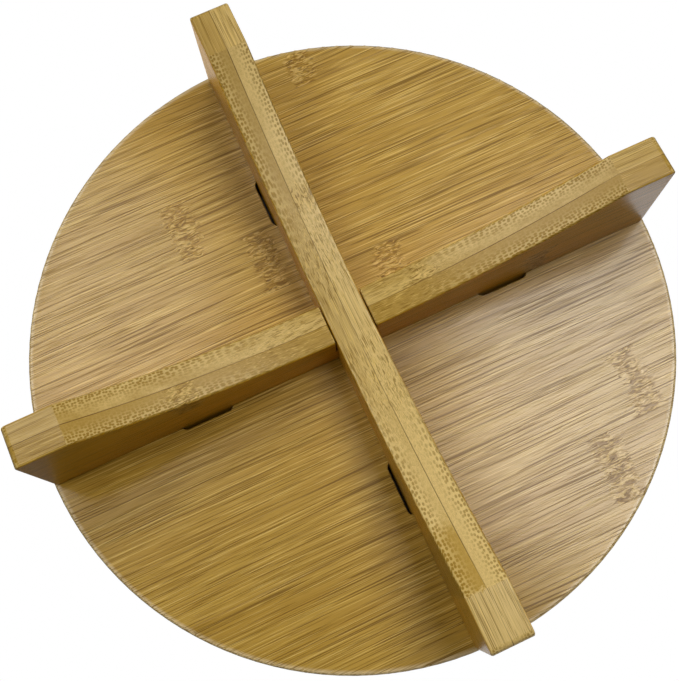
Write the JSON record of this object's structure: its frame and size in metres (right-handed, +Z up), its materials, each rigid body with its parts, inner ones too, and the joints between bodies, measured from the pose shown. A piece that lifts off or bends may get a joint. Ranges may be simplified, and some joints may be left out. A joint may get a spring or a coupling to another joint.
{
  "type": "raised lazy susan turntable",
  "caption": "Round bamboo turntable on a ball-bearing ring, raised on two arched leg boards that cross in a half-lap under a fixed base disc.",
  "frame": {"origin": "on the surface it stands on, in the middle between the feet, on the spin axis", "axes": "+Z up along the spin axis, X along the upper cross leg, Y along the lower cross leg"},
  "size_m": [0.203, 0.203, 0.071],
  "materials": {
    "platter_bamboo": "satin lacquered bamboo board",
    "base_bamboo": "satin lacquered bamboo board",
    "leg_bamboo": "satin lacquered bamboo board, end grain on the arches",
    "ring_aluminium": "turned satin aluminium",
    "rivet_aluminium": "dull headed rivet",
    "cage_plastic": "natural nylon",
    "ball_steel": "polished bearing steel",
    "screw_steel": "zinc plated"
  },
  "bodies": {
    "stand": {"base_disc": "base_bamboo", "upper_cross_leg": "leg_bamboo", "lower_cross_leg": "leg_bamboo", "lower_race_ring": "ring_aluminium", "upper_race_ring": "ring_aluminium", "race_rivets": "rivet_aluminium", "base_screws": "screw_steel"},
    "turntable": {"platter": "platter_bamboo", "inner_race_ring": "ring_aluminium", "platter_screws": "screw_steel"},
    "ball_set": {"ball_cage": "cage_plastic", "bearing_balls": "ball_steel"}
  },
  "joints": [
    {"name": "platter_spin", "type": "hinge", "parent": "stand", "child": "turntable", "pos_m": [0, 0, 0.05425], "axis": [0, 0, 1], "continuous": true},
    {"name": "cage_spin", "type": "hinge", "parent": "stand", "child": "ball_set", "pos_m": [0, 0, 0.05425], "axis": [0, 0, 1], "continuous": true}
  ],
  "couplings": [
    {"joint": "cage_spin", "follows": "platter_spin", "ratio": 0.48347}
  ]
}
